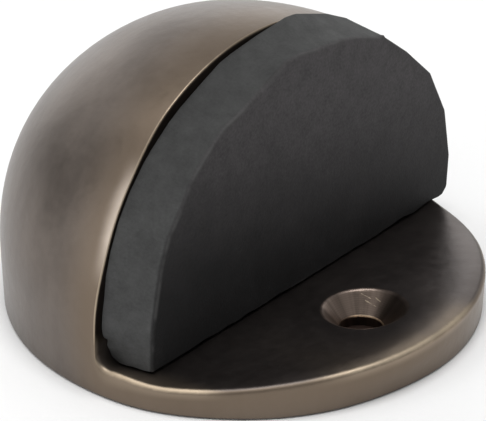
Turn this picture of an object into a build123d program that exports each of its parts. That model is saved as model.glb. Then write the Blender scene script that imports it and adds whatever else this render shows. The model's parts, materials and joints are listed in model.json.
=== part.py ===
from build123d import *
import os
from math import cos, pi, radians, tan

# A floor-mounted half-dome door stop: a brass casting, a rubber buffer and the fasteners that hold it.
# Millimetres. The floor is z = 0, the base plate is centred on the Z axis, and the door comes from -Y.

# Casting, outside
FLOOR_RADIUS = 22.4         # edge of the base plate at the floor
WAIST_RADIUS = 22.5         # widest part of the dome
WAIST_HEIGHT = 5.6
CROWN_HEIGHT = 27.2
DOME_FULLNESS = 0.578       # 0.552 would be an ellipse, more is a fuller shoulder
FLAT_FACE_Y = -1.9          # the dome's upright flat face
PLATE_THICKNESS = 2.0       # base plate at the Z axis
PLATE_RISE = 0.08           # the plate thickens towards its front edge, millimetres per millimetre
INNER_CORNER_RADIUS = 1.2   # where the flat face meets the plate
RIM_RADIUS = 0.3            # the dome's front rim and the plate's top edge
FOOT_RADIUS = 0.25          # the plate's bottom edge

# Casting, hollow behind the flat face, open to the floor
WALL = 3.0
HOLLOW_CORNER_RADIUS = 1.5

# Fixing hole for a countersunk wood screw
HOLE_Y = -13.6
HOLE_RADIUS = 2.0
SINK_RADIUS = 3.8
SINK_HALF_ANGLE = 41.0      # degrees
SINK_EDGE_RADIUS = 0.2

# Rubber buffer. Both outlines go over the top from the left foot to the right foot, as (x, z).
BUFFER_THICKNESS = 4.3
BUFFER_LIFT = 0.2           # gap between the buffer's foot and the plate
BACK_FOOT_CHAMFER = 1.15    # clears the casting's inner corner
BACK_FEET_X = (-20.6, 21.0)
BACK_CUTS = [
    (-21.5, 5.4), (-21.1, 9.8), (-19.5, 15.0), (-15.5, 20.3), (-9.6, 24.2), (-2.8, 26.5),
    (4.0, 26.7), (11.9, 24.0), (17.0, 20.4), (20.8, 14.6), (22.0, 8.0), (21.9, 3.6),
]
FRONT_FEET_X = (-19.9, 21.4)
FRONT_CUTS = [
    (-19.6, 6.8), (-18.5, 12.4), (-16.0, 17.0), (-12.6, 20.7), (-10.2, 22.5), (-2.2, 25.7),
    (5.9, 25.0), (12.1, 23.3), (19.8, 16.9), (22.4, 12.0), (23.3, 6.8), (22.9, 3.2),
]

# M4 studs moulded in the buffer, with a washer and a nut on each in the hollow
STUD_X = {"left": -9.0, "right": 9.0}
STUD_HEIGHT = 11.5
STUD_RADIUS = 2.0
STUD_TIP_CHAMFER = 0.4
STUD_BEYOND_NUT = 1.4
HEAD_RADIUS = 4.5
HEAD_THICKNESS = 1.2
HEAD_DEPTH = 1.2            # rubber behind the head
STUD_HOLE_RADIUS = 2.25
WASHER_RADIUS = 4.5
WASHER_BORE_RADIUS = 2.15
WASHER_THICKNESS = 0.8
NUT_ACROSS_FLATS = 7.0
NUT_HEIGHT = 3.2
NUT_BORE_RADIUS = 2.03
NUT_CHAMFER_ANGLE = 30.0    # degrees, the turned chamfer on the hexagon's corners

WALL_INSIDE_Y = FLAT_FACE_Y + WALL
BUFFER_FRONT_Y = FLAT_FACE_Y - BUFFER_THICKNESS
HEAD_BACK_Y = FLAT_FACE_Y - HEAD_DEPTH
NUT_SEAT_Y = WALL_INSIDE_Y + WASHER_THICKNESS
STUD_TIP_Y = NUT_SEAT_Y + NUT_HEIGHT + STUD_BEYOND_NUT
MARGIN = 5.0                # how far a cutting shape runs past the part
TOUCH = 0.01                # tolerance for finding an edge at a known place


def plate_top(y):
    """Height of the base plate's sloping top at the distance y from the axis."""
    return PLATE_THICKNESS - PLATE_RISE * y


def dome_round(inset):
    """The full round that the dome and plate are cut from, or, inset by the wall, its hollow."""
    waist = WAIST_RADIUS - inset
    crown = CROWN_HEIGHT - inset
    shoulder = WAIST_HEIGHT + DOME_FULLNESS * (crown - WAIST_HEIGHT)
    over = Bezier((waist, WAIST_HEIGHT), (waist, shoulder), (DOME_FULLNESS * waist, crown), (0, crown))
    side = TangentArc((waist, WAIST_HEIGHT), (FLOOR_RADIUS - inset, 0), tangent=(0, -1))
    floor_and_axis = Polyline((FLOOR_RADIUS - inset, 0), (0, 0), (0, crown))
    return revolve(Plane.XZ * make_face([over, side, *floor_and_axis.edges()]), Axis.Z)


def across(face, half_width):
    """A YZ outline carried out to both sides of x = 0."""
    return extrude(Plane.YZ * face, amount=half_width, both=True)


def beyond(y, sign):
    """Everything on one side of an upright plane, sign +1 for its back and -1 for its front."""
    size = 2 * (WAIST_RADIUS + MARGIN)
    return Pos(0, y + sign * size / 2, CROWN_HEIGHT / 2) * Box(size, size, 2 * size)


def front_clearance():
    """The space cut away in front of the flat face and above the plate."""
    far = -WAIST_RADIUS - MARGIN
    high = CROWN_HEIGHT + MARGIN
    outline = Polyline(
        (FLAT_FACE_Y, plate_top(FLAT_FACE_Y)), (FLAT_FACE_Y, high), (far, high), (far, plate_top(far)),
        close=True,
    )
    space = across(make_face(outline), WAIST_RADIUS + MARGIN)
    corner = space.edges().sort_by_distance((0, FLAT_FACE_Y, plate_top(FLAT_FACE_Y)))[0]
    return fillet(corner, INNER_CORNER_RADIUS)


def rim_edges(casting):
    """The outer edges of the flat face, the inner corner and the plate's top."""
    cut_faces = [f for f in casting.faces() if f.bounding_box().max.Y < FLAT_FACE_Y + TOUCH]
    edges = [e for f in cut_faces for e in f.edges()]
    return [e for e in edges if sum(e.is_same(other) for other in edges) == 1]


def fixing_hole():
    """The through hole with its countersink, square to the floor."""
    top = plate_top(HOLE_Y)
    widen = tan(radians(SINK_HALF_ANGLE))
    depth = (SINK_RADIUS - HOLE_RADIUS) / widen
    shank = Pos(0, HOLE_Y, top / 2) * Cylinder(HOLE_RADIUS, top + MARGIN)
    sink_height = depth + MARGIN
    sink = Pos(0, HOLE_Y, top - depth + sink_height / 2) * Cone(
        HOLE_RADIUS, HOLE_RADIUS + widen * sink_height, sink_height
    )
    return shank + sink


def along_y(radius, start_y, end_y, x):
    """A round bar parallel to Y at the studs' height."""
    bar = Cylinder(radius, end_y - start_y)
    return Pos(x, (start_y + end_y) / 2, STUD_HEIGHT) * Rot(90, 0, 0) * bar


def dome_base():
    """The brass casting: plate and half dome in one, hollow behind the flat face."""
    casting = dome_round(0) - front_clearance()
    casting = fillet(rim_edges(casting), RIM_RADIUS)
    foot = casting.edges().filter_by_position(Axis.Z, -TOUCH, TOUCH)
    casting = fillet(foot, FOOT_RADIUS)
    hollow = dome_round(WALL) & beyond(WALL_INSIDE_Y, 1)
    upright = [e for e in hollow.edges() if abs(e.center().Y - WALL_INSIDE_Y) < TOUCH and e.center().Z > TOUCH]
    hollow = fillet(upright, HOLLOW_CORNER_RADIUS)
    casting -= hollow
    casting -= fixing_hole()
    hole_top = (0, HOLE_Y, plate_top(HOLE_Y))
    sink_edge = casting.edges().filter_by(GeomType.ELLIPSE).sort_by_distance(hole_top)[0]
    casting = fillet(sink_edge, SINK_EDGE_RADIUS)
    for x in STUD_X.values():
        casting -= along_y(STUD_HOLE_RADIUS, FLAT_FACE_Y - TOUCH, WALL_INSIDE_Y + TOUCH, x)
    return casting


def buffer_outline(feet_x, cuts, y):
    """One upright face of the buffer, standing on its foot at the distance y."""
    foot = plate_top(y) + BUFFER_LIFT
    left, right = feet_x
    upright = Plane(origin=(0, y, 0), x_dir=(1, 0, 0), z_dir=(0, -1, 0))
    return upright * make_face(Polyline((left, foot), *cuts, (right, foot), close=True))


def rubber_buffer():
    """The half-round rubber block, its arc trimmed into flat cuts, with the stud heads' pockets."""
    back = buffer_outline(BACK_FEET_X, BACK_CUTS, FLAT_FACE_Y)
    front = buffer_outline(FRONT_FEET_X, FRONT_CUTS, BUFFER_FRONT_Y)
    block = loft([back, front], ruled=True)
    foot = (0, FLAT_FACE_Y, plate_top(FLAT_FACE_Y) + BUFFER_LIFT)
    block = chamfer(block.edges().filter_by(Axis.X).sort_by_distance(foot)[0], BACK_FOOT_CHAMFER)
    for x in STUD_X.values():
        block -= along_y(HEAD_RADIUS, HEAD_BACK_Y - HEAD_THICKNESS, HEAD_BACK_Y, x)
        block -= along_y(STUD_RADIUS, HEAD_BACK_Y, FLAT_FACE_Y, x)
    return block


def stud(x):
    """A flat-headed M4 stud from inside the rubber to beyond the nut."""
    head = along_y(HEAD_RADIUS, HEAD_BACK_Y - HEAD_THICKNESS, HEAD_BACK_Y, x)
    shank = along_y(STUD_RADIUS, HEAD_BACK_Y, STUD_TIP_Y, x)
    shank = chamfer(shank.edges().sort_by(Axis.Y)[-1], STUD_TIP_CHAMFER)
    return head + shank


def washer(x):
    """A plain washer against the inside of the wall."""
    disc = along_y(WASHER_RADIUS, WALL_INSIDE_Y, NUT_SEAT_Y, x)
    return disc - along_y(WASHER_BORE_RADIUS, WALL_INSIDE_Y, NUT_SEAT_Y, x)


def nut(x):
    """A hexagon nut with the turned chamfers on its corners."""
    corner_radius = NUT_ACROSS_FLATS / 2 / cos(pi / 6)
    slope = tan(radians(NUT_CHAMFER_ANGLE))
    hexagon = extrude(RegularPolygon(corner_radius, 6), amount=NUT_HEIGHT)
    spread = NUT_HEIGHT / slope
    point = Cone(NUT_ACROSS_FLATS / 2 + spread, NUT_ACROSS_FLATS / 2, NUT_HEIGHT)
    turned = Pos(0, 0, NUT_HEIGHT / 2) * point
    hexagon &= turned
    hexagon &= Pos(0, 0, NUT_HEIGHT / 2) * Rot(180, 0, 0) * point
    hexagon -= Pos(0, 0, NUT_HEIGHT / 2) * Cylinder(NUT_BORE_RADIUS, NUT_HEIGHT + MARGIN)
    return Pos(x, NUT_SEAT_Y, STUD_HEIGHT) * Rot(-90, 0, 0) * hexagon


def main():
    nodes = {"dome_base": dome_base(), "rubber_buffer": rubber_buffer()}
    for side, x in STUD_X.items():
        nodes[f"buffer_stud_{side}"] = stud(x)
        nodes[f"stud_washer_{side}"] = washer(x)
        nodes[f"stud_nut_{side}"] = nut(x)
    os.makedirs("parts", exist_ok=True)
    for name, shape in nodes.items():
        export_step(shape, f"parts/{name}.step")


main()
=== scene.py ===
import json
import math

import bmesh
import bpy
import numpy as np
from mathutils import Matrix, Vector, noise
from mathutils.geometry import delaunay_2d_cdt


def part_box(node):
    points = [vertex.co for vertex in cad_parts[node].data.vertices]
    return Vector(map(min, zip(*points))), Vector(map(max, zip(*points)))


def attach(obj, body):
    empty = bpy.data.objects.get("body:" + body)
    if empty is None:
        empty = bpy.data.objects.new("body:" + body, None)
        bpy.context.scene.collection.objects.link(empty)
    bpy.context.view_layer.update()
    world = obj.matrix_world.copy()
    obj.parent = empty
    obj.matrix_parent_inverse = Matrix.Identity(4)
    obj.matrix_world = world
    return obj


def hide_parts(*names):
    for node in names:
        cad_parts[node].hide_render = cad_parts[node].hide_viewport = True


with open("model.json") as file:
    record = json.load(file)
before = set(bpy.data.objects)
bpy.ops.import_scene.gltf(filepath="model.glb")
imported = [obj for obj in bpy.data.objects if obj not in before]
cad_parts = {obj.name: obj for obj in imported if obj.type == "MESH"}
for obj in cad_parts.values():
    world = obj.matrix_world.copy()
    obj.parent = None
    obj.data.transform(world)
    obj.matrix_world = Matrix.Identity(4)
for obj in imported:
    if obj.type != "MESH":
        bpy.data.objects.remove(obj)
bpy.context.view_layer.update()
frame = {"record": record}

# Lengths are millimetres until a mesh is made, which is in metres, in the CAD's frame: the floor is z = 0,
# the base plate is centred on the Z axis and the door comes from -Y.
MM = 0.001


def box_mm(node):
    """Lowest corner, highest corner and middle of a CAD node."""
    low, high = (np.array(corner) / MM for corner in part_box(node))
    return low, high, (low + high) / 2


CAST_HIGH = box_mm("dome_base")[1]
BUFFER_LOW, BUFFER_HIGH, _ = box_mm("rubber_buffer")
MOUNTS = {mount["name"]: mount for mount in frame["record"]["mounts"]}

# Casting, outside
WAIST_RADIUS = CAST_HIGH[0]
CROWN_HEIGHT = CAST_HIGH[2]
FLAT_FACE_Y = BUFFER_HIGH[1]
WAIST_HEIGHT = 5.6
FLOOR_RADIUS = 22.4
DOME_FULLNESS = 0.578
PLATE_THICKNESS = 2.0
PLATE_RISE = 0.08
INNER_CORNER_RADIUS = 1.2
FOOT_RADIUS = 0.25
ARCH_RIM_RADIUS = 0.08
PLATE_RIM_RADIUS = 0.45

# Casting, hollow
WALL = 3.0
WALL_INSIDE_Y = FLAT_FACE_Y + WALL
HOLLOW_CORNER_RADIUS = 1.5
HOLLOW_ROWS = 25
STUD_HOLE_RADIUS = 2.25

# Fixing hole
HOLE_Y = MOUNTS["fixing_hole"]["pos_m"][1] / MM
HOLE_RADIUS = MOUNTS["fixing_hole"]["dims"]["r_mm"]
SINK_RADIUS = 3.8
SINK_HALF_ANGLE = math.radians(41)
SINK_EDGE_RADIUS = 0.22
LIP_ROUNDING = 0.12
HOLE_EDGE_RADIUS = 0.08

# Studs, washers and nuts
M4_RADIUS = 2.0
HEAD_THICKNESS = 1.2
WASHER_BORE_RADIUS = 2.15
NUT_BORE_RADIUS = 2.03
NUT_CHAMFER_ANGLE = math.radians(30)

# Support rows: this far from the edge of a stud's hole or pocket, so that the flat faces shade flat
SUPPORT = 0.3

# Marks that the brass material reads. "rim" is the distance in millimetres from the nearest rim, negative on
# the flat face and the plate's top. "sink" is 1 in the countersink and 0 outside it.
FAR_OUTSIDE = 9.0
FAR_ON_CUT = -3.0
RIM_IN_SINK = 3.0
SINK_MARK = 1.0
LIP_MARK = 2.0      # the "sink" mark of the lip of the bore

# Colours, linear
BRASS_DARK = (0.141, 0.119, 0.104)
BRASS_LIGHT = (0.178, 0.151, 0.132)
BRASS_WARM = (0.190, 0.143, 0.101)
# painted highlight: the pale colour of a lamp's reflection beside the arch's rim
BRASS_PAINTED_HIGHLIGHT = (0.54, 0.46, 0.39)
BRASS_PLATE = (0.124, 0.107, 0.101)
# painted shade: the flat face above the plate is near-black, standing in for the shadow and reflection of the
# rubber beside it
FLAT_FACE_PAINTED_SHADE = (0.030, 0.022, 0.018)
BRASS_WORN = (0.56, 0.46, 0.34)
BRASS_WORN_SOFT = (0.33, 0.265, 0.20)
SINK_DARK = (0.150, 0.116, 0.098)
SINK_LIGHT = (0.168, 0.130, 0.108)
TOOL_MARK_STEP = 0.13
BRASS_ROUGHNESS = 0.35
# the rubber's front runs from RUBBER_LOW at its foot to RUBBER_HIGH at its top: the darkening towards the
# foot is painted shade
RUBBER_LOW = (0.0072, 0.0070, 0.0073)
RUBBER_HIGH = (0.056, 0.052, 0.0535)
RUBBER_CUT = (0.048, 0.0485, 0.048)
# RUBBER_WORN lightens the rubber's edges, as wear and a painted highlight, and colours the dust lines
RUBBER_WORN = (0.062, 0.061, 0.060)
RUBBER_ROUGHNESS = 0.75
STEEL_DULL = (0.50, 0.51, 0.51)
STEEL_BRIGHT = (0.62, 0.63, 0.63)
STEEL_WORN = (0.78, 0.78, 0.77)
FLOOR_SHADE = (0.90, 0.90, 0.90)
FLOOR_PALE = (0.94, 0.94, 0.94)
# painted shade inside the floor's drilled hole
DRILLED_HOLE_PAINTED_SHADE = (0.10, 0.064, 0.052)

# Camera: the photograph's angle and framing
CAMERA_AZIMUTH = math.radians(-50.5)
CAMERA_ELEVATION = math.radians(28.4)
CAMERA_DISTANCE = 0.220
CAMERA_LENS = 178.0
AIM_HEIGHT = 0.0082
AIM_SIDE = -0.0002
CAMERA_ROLL = math.radians(0.3)


# -------- mesh helpers


def linked(name, data):
    """A new object in the scene."""
    thing = bpy.data.objects.new(name, data)
    bpy.context.scene.collection.objects.link(thing)
    return thing


class Shell:
    """The points and faces of one closed mesh, with numbers that its material reads at each point."""

    def __init__(self, **marks):
        self.points = []
        self.faces = []
        self.defaults = marks
        self.marks = {name: [] for name in marks}

    def ring(self, points, **marks):
        """Adds a row of points and gives their numbers."""
        points = np.asarray(points, float)
        first = len(self.points)
        self.points.extend(map(tuple, points))
        for name, default in self.defaults.items():
            self.marks[name].extend(np.broadcast_to(marks.get(name, default), len(points)))
        return list(range(first, len(self.points)))

    def strip(self, a, b, closed=True):
        """Quads between two rows of equal length."""
        count = len(a) if closed else len(a) - 1
        for i in range(count):
            j = (i + 1) % len(a)
            self.faces.append((a[i], a[j], b[j], b[i]))

    def strips(self, rings, closed=True):
        for a, b in zip(rings, rings[1:]):
            self.strip(a, b, closed)

    def fan(self, ring, centre):
        for i in range(len(ring)):
            self.faces.append((ring[i], ring[(i + 1) % len(ring)], centre))

    def fill(self, loops, flat, inner=()):
        """Triangles over the region between closed loops. flat gives each point's place in the plane."""
        numbers = [n for loop in loops for n in loop] + list(inner)
        place = {n: k for k, n in enumerate(numbers)}
        spots = [Vector(flat[n]) for n in numbers]
        edges = [(place[a], place[b]) for loop in loops for a, b in zip(loop, loop[1:] + loop[:1])]
        sides = np.array([(*spots[a], *spots[b]) for a, b in edges])
        _, _, triangles, origins, _, _ = delaunay_2d_cdt(spots, edges, [], 0, 1e-6)
        back = [numbers[o[0]] for o in origins]
        for t in triangles:
            x, y = (sum(flat[back[k]][axis] for k in t) / 3 for axis in (0, 1))
            if crossings(sides, x, y) % 2:
                self.faces.append(tuple(back[k] for k in t))

    def fill_level(self, loops, axes):
        """Fills the region between loops in a plane that runs along the two axes."""
        self.fill(loops, {n: [self.points[n][k] for k in axes] for loop in loops for n in loop})

    def build(self, name, sharp):
        """The object, in metres, smooth except along edges that turn more than the angle sharp."""
        mesh = bpy.data.meshes.new(name)
        mesh.from_pydata([tuple(MM * c for c in p) for p in self.points], [], self.faces)
        for mark, values in self.marks.items():
            attribute = mesh.attributes.new(mark, "FLOAT", "POINT")
            attribute.data.foreach_set("value", np.array(values, np.float32))
        work = bmesh.new()
        work.from_mesh(mesh)
        bmesh.ops.remove_doubles(work, verts=work.verts, dist=1e-8)
        bmesh.ops.recalc_face_normals(work, faces=work.faces)
        work.to_mesh(mesh)
        work.free()
        mesh.shade_smooth()
        mesh.set_sharp_from_angle(angle=sharp)
        return linked(name, mesh)


def crossings(sides, x, y):
    """How many of the loops' sides a ray from (x, y) along +X crosses."""
    ax, ay, bx, by = sides.T
    spans = (ay > y) != (by > y)
    rise = np.where(spans, by - ay, 1)
    return int((spans & (x < ax + (y - ay) / rise * (bx - ax))).sum())


def unit(v):
    return v / np.maximum(np.linalg.norm(v, axis=-1, keepdims=True), 1e-12)


def around(ring):
    """Direction of travel at each point of a closed ring."""
    return unit(np.roll(ring, -1, axis=0) - np.roll(ring, 1, axis=0))


def rough(points, size, seed):
    """Smooth noise from about -1 to 1 at each point, with features of the size given."""
    shift = Vector((seed * 17.3, seed * 5.1, seed * 9.7))
    return np.array([noise.noise(Vector(p) / size + shift) for p in points])


def ease(x, start, end):
    """0 before start and 1 after end, with a smooth rise between."""
    t = np.clip((x - start) / (end - start), 0, 1)
    return t * t * (3 - 2 * t)


# -------- casting


class Round:
    """The full round that the casting is cut from, or its hollow: a distance for every direction."""

    def __init__(self, inset):
        waist, crown, floor = WAIST_RADIUS - inset, CROWN_HEIGHT - inset, FLOOR_RADIUS - inset
        low = np.linspace(0, WAIST_HEIGHT, 60, endpoint=False)
        low_out = waist - (waist - floor) * (1 - low / WAIST_HEIGHT) ** 2
        t = np.linspace(0, 1, 1500)
        rise = crown - WAIST_HEIGHT
        out = waist * ((1 - t) ** 3 + 3 * t * (1 - t) ** 2 + 3 * t * t * (1 - t) * DOME_FULLNESS)
        up = rise * (3 * t * (1 - t) ** 2 * DOME_FULLNESS + 3 * t * t * (1 - t) + t**3)
        out = np.concatenate([low_out, out])
        up = np.concatenate([low - WAIST_HEIGHT, up])
        self.tilts = np.arctan2(up, out)
        self.distances = np.hypot(out, up)
        self.centre = np.array([0, 0, WAIST_HEIGHT])

    def toward(self, direction):
        """The point of the round in a direction from its centre."""
        direction = unit(direction)
        tilt = np.arcsin(np.clip(direction[..., 2], -1, 1))
        return self.centre + direction * np.interp(tilt, self.tilts, self.distances)[..., None]

    def onto(self, points):
        return self.toward(points - self.centre)

    def outside(self, points):
        """Distance beyond the round along the line from its centre, negative inside."""
        away = points - self.centre
        length = np.linalg.norm(away, axis=-1)
        tilt = np.arcsin(np.clip(away[..., 2] / length, -1, 1))
        return length - np.interp(tilt, self.tilts, self.distances)

    def normal(self, points):
        step = 1e-3
        return unit(np.stack([
            self.outside(points + step * axis) - self.outside(points - step * axis) for axis in np.eye(3)
        ], -1))

    def reach(self, point_at, count, longest):
        """For each of count lines, how far along it the round is, by halving."""
        low, high = np.zeros(count), np.full(count, longest)
        for _ in range(40):
            middle = (low + high) / 2
            inside = self.outside(point_at(middle)) < 0
            low, high = np.where(inside, middle, low), np.where(inside, high, middle)
        return (low + high) / 2


def plate_top(y):
    return PLATE_THICKNESS - PLATE_RISE * y


class CutProfile:
    """The flat face, the inner corner and the plate's top, laid out flat: s is the distance along them,
    positive up the flat face and negative out along the plate."""

    def __init__(self):
        slope = math.atan(PLATE_RISE)
        self.out = np.array([-math.cos(slope), math.sin(slope)])
        half = (math.pi / 2 - slope) / 2
        corner = np.array([FLAT_FACE_Y, plate_top(FLAT_FACE_Y)])
        tangent = INNER_CORNER_RADIUS / math.tan(half)
        self.start = corner + tangent * np.array([0, 1])
        self.end = corner + tangent * self.out
        self.turn = math.pi - 2 * half
        self.length = INNER_CORNER_RADIUS * self.turn
        self.arc_centre = self.start + np.array([-INNER_CORNER_RADIUS, 0])

    def at(self, x, s):
        """The 3-D point at x and s."""
        a = np.clip(-s, 0, self.length) / INNER_CORNER_RADIUS
        y = self.arc_centre[0] + INNER_CORNER_RADIUS * np.cos(a)
        z = self.arc_centre[1] - INNER_CORNER_RADIUS * np.sin(a)
        z = z + np.maximum(s, 0)
        beyond = np.maximum(-s - self.length, 0)
        return np.stack([x, y + beyond * self.out[0], z + beyond * self.out[1]], -1)

    def s_of_height(self, z):
        return z - self.start[1]

    def s_of_plate(self, y):
        return -self.length - (self.end[0] - y) / -self.out[0]

    def normal(self, s):
        """Out of the metal, towards the buffer's side."""
        a = np.clip(-s, 0, self.length) / INNER_CORNER_RADIUS
        return np.stack([0 * a, -np.cos(a), np.sin(a)], -1)


RIM_POINTS = 520
CUT = CutProfile()
OUTER = Round(0)
INNER = Round(WALL)


def rim_layout():
    """The sharp rim, before it is rounded, laid out flat as (x, s), clockwise from the crown."""
    count = 700
    turn = np.linspace(math.pi / 2, math.atan2(CUT.start[1] - WAIST_HEIGHT, WAIST_RADIUS), count)
    far = OUTER.reach(lambda r: np.stack([
        r * np.cos(turn), np.full(count, FLAT_FACE_Y), WAIST_HEIGHT + r * np.sin(turn)], -1), count, 40)
    arch = np.stack([far * np.cos(turn), CUT.s_of_height(WAIST_HEIGHT + far * np.sin(turn))], -1)
    arch = arch[arch[:, 1] > 0]
    s = np.linspace(0, -CUT.length, 80)
    corner = np.stack([OUTER.reach(lambda x: CUT.at(x, s), len(s), 40), s], -1)
    bearing = np.linspace(math.asin(-CUT.end[0] / FLOOR_RADIUS), math.pi / 2, count)
    far = OUTER.reach(lambda r: np.stack([
        r * np.cos(bearing), -r * np.sin(bearing), plate_top(-r * np.sin(bearing))], -1), count, 40)
    plate = np.stack([far * np.cos(bearing), CUT.s_of_plate(-far * np.sin(bearing))], -1)
    plate = plate[plate[:, 1] < -CUT.length]
    half = np.concatenate([arch, corner, plate])
    steps = np.linalg.norm(np.diff(CUT.at(half[:, 0], half[:, 1]), axis=0), axis=1)
    walked = np.concatenate([[0], np.cumsum(steps)])
    even = np.linspace(0, walked[-1], RIM_POINTS // 2 + 1)
    right = np.stack([np.interp(even, walked, half[:, 0]), np.interp(even, walked, half[:, 1])], -1)
    right[[0, -1], 0] = 0
    left = right[-2:0:-1] * (-1, 1)
    return np.concatenate([right, left])


def foot_bearings(layout):
    """For each rim point, the bearing of the point at the plate's foot that its row runs to."""
    points = CUT.at(layout[:, 0], layout[:, 1])
    bearings = np.arctan2(points[:, 1], points[:, 0])
    half = RIM_POINTS // 2
    plate = np.argmax(layout[:half, 1] < -CUT.length)
    over = bearings[plate] + (math.pi / 2 - bearings[plate]) * (1 - np.arange(plate) / plate)
    bearings[:plate] = over
    bearings[0] = math.pi / 2
    bearings[half + 1:] = math.pi - bearings[half - 1:0:-1]
    bearings[half] = -math.pi / 2
    return bearings


def between(a, b, share):
    """Directions part of the way from a to b along great circles."""
    a, b = unit(a), unit(b)
    angle = np.arccos(np.clip((a * b).sum(-1, keepdims=True), -1, 1))
    small = angle < 1e-6
    sine = np.where(small, 1, np.sin(angle))
    mixed = (np.sin((1 - share) * angle) * a + np.sin(share * angle) * b) / sine
    return np.where(small, a, mixed)


def rounded(corner, start, end, steps):
    """Rows of points of a rounding from start to end, inside the sharp corner between them."""
    for k in range(1, steps):
        t = math.pi / 2 * k / steps
        yield corner + (start - corner) * (1 - math.sin(t)) + (end - corner) * (1 - math.cos(t))


def circle(count):
    turn = np.arange(count) * 2 * math.pi / count
    return np.cos(turn), np.sin(turn)


def circle_about(axis, radius, y, count=48):
    """Points of a circle about an axis parallel to Y."""
    c, s = circle(count)
    return np.stack([axis[0] + radius * c, y + 0 * c, axis[2] + radius * s], -1)


def casting_outside(shell, flat):
    """Dome, rim rounding and foot rounding. Gives the innermost ring on the cut face and the floor ring."""
    layout = rim_layout()
    sharp = CUT.at(layout[:, 0], layout[:, 1])
    travel = around(sharp)
    away = unit(np.cross(travel, OUTER.normal(sharp)))
    away *= -np.sign((away * CUT.normal(layout[:, 1])).sum(-1, keepdims=True))
    flow = around(layout)
    inward = np.stack([flow[:, 1], -flow[:, 0]], -1)
    onto_plate = ease(-layout[:, 1], 0, CUT.length)
    radius = (ARCH_RIM_RADIUS + (PLATE_RIM_RADIUS - ARCH_RIM_RADIUS) * onto_plate)[:, None]
    start = OUTER.onto(sharp + radius * away)

    def on_cut(distance):
        spot = layout + inward * distance
        return CUT.at(spot[:, 0], spot[:, 1]), spot

    end, _ = on_cut(radius)
    foot = foot_bearings(layout)
    foot_radius = np.linalg.norm(OUTER.toward(np.array([1, 0, -WAIST_HEIGHT / FLOOR_RADIUS])) * (1, 1, 0))
    target = np.stack([np.cos(foot) * foot_radius, np.sin(foot) * foot_radius, 0 * foot + FOOT_RADIUS], -1)
    rings = []
    for k in range(4):
        t = math.pi / 2 * k / 4
        r = foot_radius - FOOT_RADIUS * (1 - math.sin(t))
        z = FOOT_RADIUS * (1 - math.cos(t))
        rings.append(np.stack([np.cos(foot) * r, np.sin(foot) * r, 0 * foot + z], -1))
    floor_support = rings[0] * (foot_radius - 2 * FOOT_RADIUS) / (foot_radius - FOOT_RADIUS)
    shares = np.linspace(1, 0, 46) ** 1.35
    dome = [OUTER.toward(between(start - OUTER.centre, target - OUTER.centre, share)) for share in shares]
    numbers = [shell.ring(row, rim=FAR_OUTSIDE) for row in (floor_support * (1, 1, 0), *rings)]
    for row in dome:
        numbers.append(shell.ring(row, rim=np.linalg.norm(row - sharp, axis=1)))
    steps = 7
    for k, row in enumerate(rounded(sharp, start, end, steps), 1):
        numbers.append(shell.ring(row, rim=radius[:, 0] * (1 - 2 * k / steps)))
    for extra in (0, 0.12, 0.3, 0.55, 0.9, 1.4):
        row, spot = on_cut(radius + extra)
        ring = shell.ring(row, rim=-radius[:, 0] - extra)
        flat.update(zip(ring, spot))
        numbers.append(ring)
    shell.strips(numbers)
    return numbers[-1], numbers[0]


def casting_corner_rows(shell, flat, inner_ring):
    """Rows of points across the inner corner's arc, so that the fill follows it."""
    edge = np.array([flat[n] for n in inner_ring])
    numbers = []
    bends = np.linspace(0, -CUT.length, 9)
    for s in (0.6, 0.25, *bends, -CUT.length - 0.25, -CUT.length - 0.6):
        side = edge[:, 0] > 0
        order = np.argsort(edge[side, 1])
        reach = np.interp(s, edge[side, 1][order], edge[side, 0][order]) - 0.3
        x = np.linspace(-reach, reach, 90)
        ring = shell.ring(CUT.at(x, np.full(len(x), s)), rim=FAR_ON_CUT)
        flat.update(zip(ring, np.stack([x, np.full(len(x), s)], -1)))
        numbers += ring
    return numbers


def fixing_hole_rings(shell, flat):
    """Countersink and bore. Gives the outer ring on the plate's top and the ring on the underside."""
    c, s = circle(120)
    widen = math.tan(SINK_HALF_ANGLE)
    top = plate_top(HOLE_Y)
    edge = SINK_RADIUS / (1 + PLATE_RISE * widen * s)

    def spot(r, z):
        return np.stack([r * c, HOLE_Y + r * s, z + 0 * c], -1)

    def on_plate(r):
        return spot(r, plate_top(HOLE_Y + r * s))

    def on_cone(r):
        return spot(r, top - (SINK_RADIUS - r) / widen)

    e = SINK_EDGE_RADIUS
    rows = []
    for extra in (1.0, 0.5, 0.2, 0):
        rows.append((on_plate(edge + e + extra), FAR_ON_CUT, 0))
    for row in rounded(on_plate(edge), on_plate(edge + e), on_cone(edge - e * widen / 1.3), 5):
        rows.append((row, FAR_ON_CUT, SINK_MARK))
    start, stop = edge - e * widen / 1.3, HOLE_RADIUS + 0.1
    for share in np.linspace(0, 1, 12):
        rows.append((on_cone(start + (stop - start) * share), RIM_IN_SINK, SINK_MARK))
    depth = top - (SINK_RADIUS - HOLE_RADIUS) / widen
    lip = spot(HOLE_RADIUS, depth)
    below = spot(HOLE_RADIUS, depth - LIP_ROUNDING)
    for row in rounded(lip, rows[-1][0], below, 4):
        rows.append((row, RIM_IN_SINK, LIP_MARK))
    for z in np.linspace(depth - LIP_ROUNDING, HOLE_EDGE_RADIUS, 4):
        rows.append((spot(HOLE_RADIUS, z), RIM_IN_SINK, SINK_MARK))
    rows.append((spot(HOLE_RADIUS + HOLE_EDGE_RADIUS, 0), RIM_IN_SINK, 0))
    rows.append((spot(HOLE_RADIUS + 4 * HOLE_EDGE_RADIUS, 0), RIM_IN_SINK, 0))
    numbers = [shell.ring(row, rim=distance, sink=in_sink) for row, distance, in_sink in rows]
    shell.strips(numbers)
    outer = np.array([shell.points[n] for n in numbers[0]])
    flat.update(zip(numbers[0], np.stack([outer[:, 0], CUT.s_of_plate(outer[:, 1])], -1)))
    return numbers[0], numbers[-1]


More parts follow.
